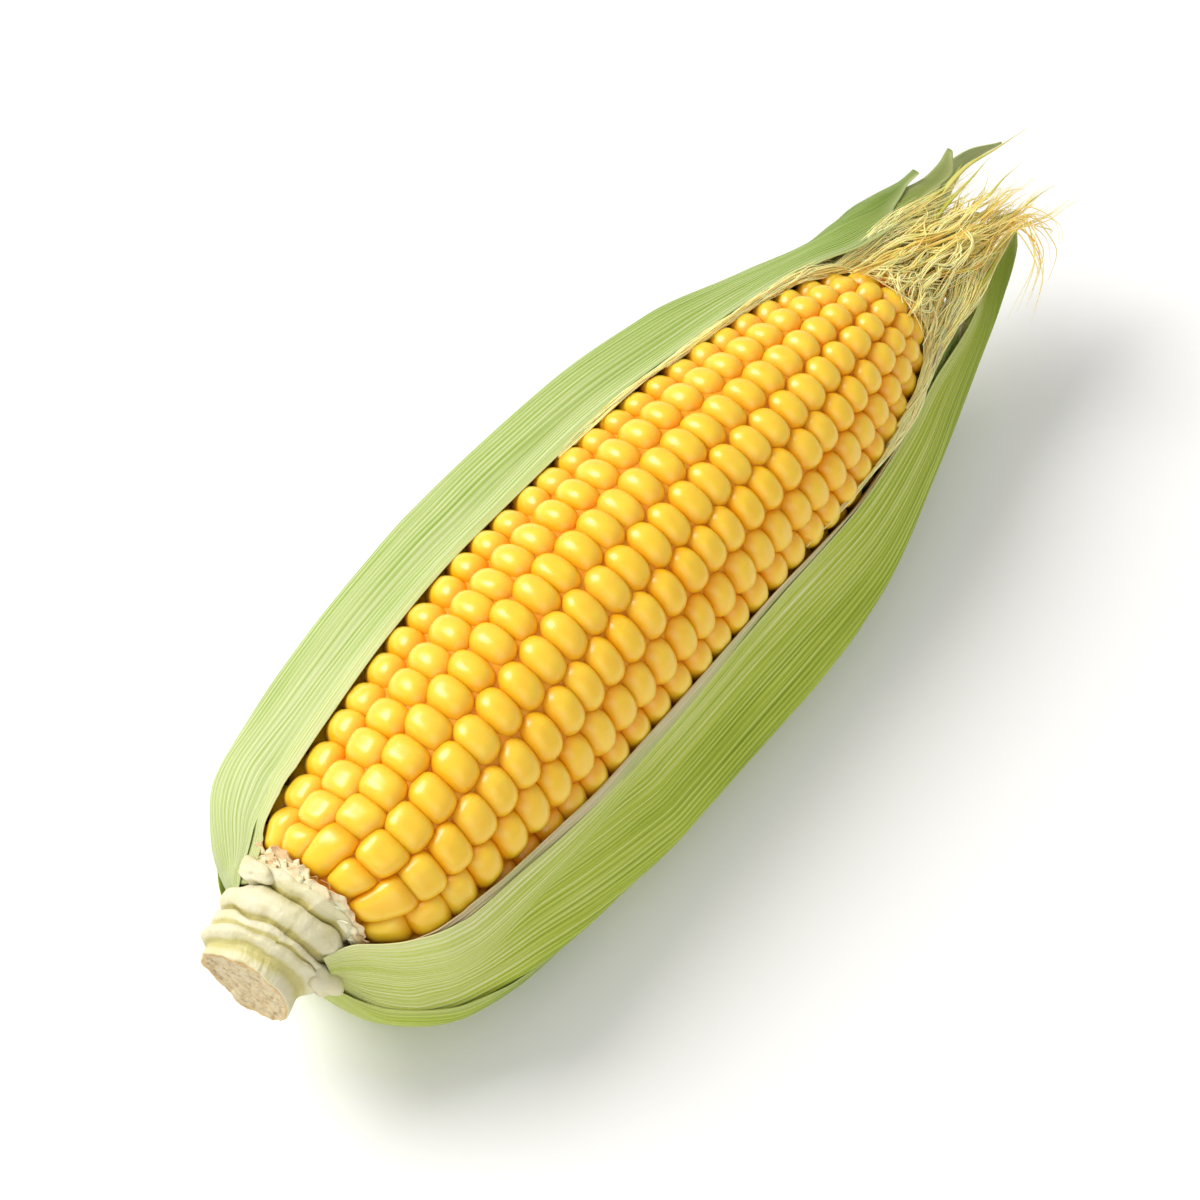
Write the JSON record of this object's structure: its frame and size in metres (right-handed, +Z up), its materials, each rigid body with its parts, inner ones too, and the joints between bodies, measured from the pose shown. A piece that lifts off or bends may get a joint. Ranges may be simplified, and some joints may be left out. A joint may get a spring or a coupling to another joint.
{
  "type": "corn cob",
  "caption": "Fresh ear of sweet corn with rounded yellow kernels, lying in its opened green husk, with a cut shank at one end and silk at the tip",
  "frame": {"origin": "bottom centre of the ear's bounding box, on the surface it lies on", "axes": "+X runs along the ear from the cut shank to the tip, +Z is up; the husk's opening faces up and 21 degrees towards -Y"},
  "size_m": [0.2422, 0.0755, 0.0586],
  "materials": {
    "kernels": "translucent waxy yellow kernels, amber in the grooves, with soft highlights",
    "shank": "cream to pale green fleshy stalk with wavy scars, tan fibrous cut face",
    "husk_outer": "satin green leaf with fine parallel ribs, pale towards the butt",
    "husk_inner": "pale green satin leaf with fine parallel ribs and a dry tan margin",
    "silk": "fine straw-coloured threads, tan towards their ends"
  },
  "bodies": {
    "root": {"cob_with_kernels": "kernels", "shank": "shank", "husk_under_outer": "husk_outer", "husk_right_outer": "husk_outer", "husk_left_outer": "husk_outer", "husk_right_inner": "husk_inner", "husk_left_inner": "husk_inner", "husk_back_inner": "husk_inner", "silk_tuft": "silk", "silk_left_lock": "silk", "silk_right_lock": "silk"}
  },
  "joints": []
}
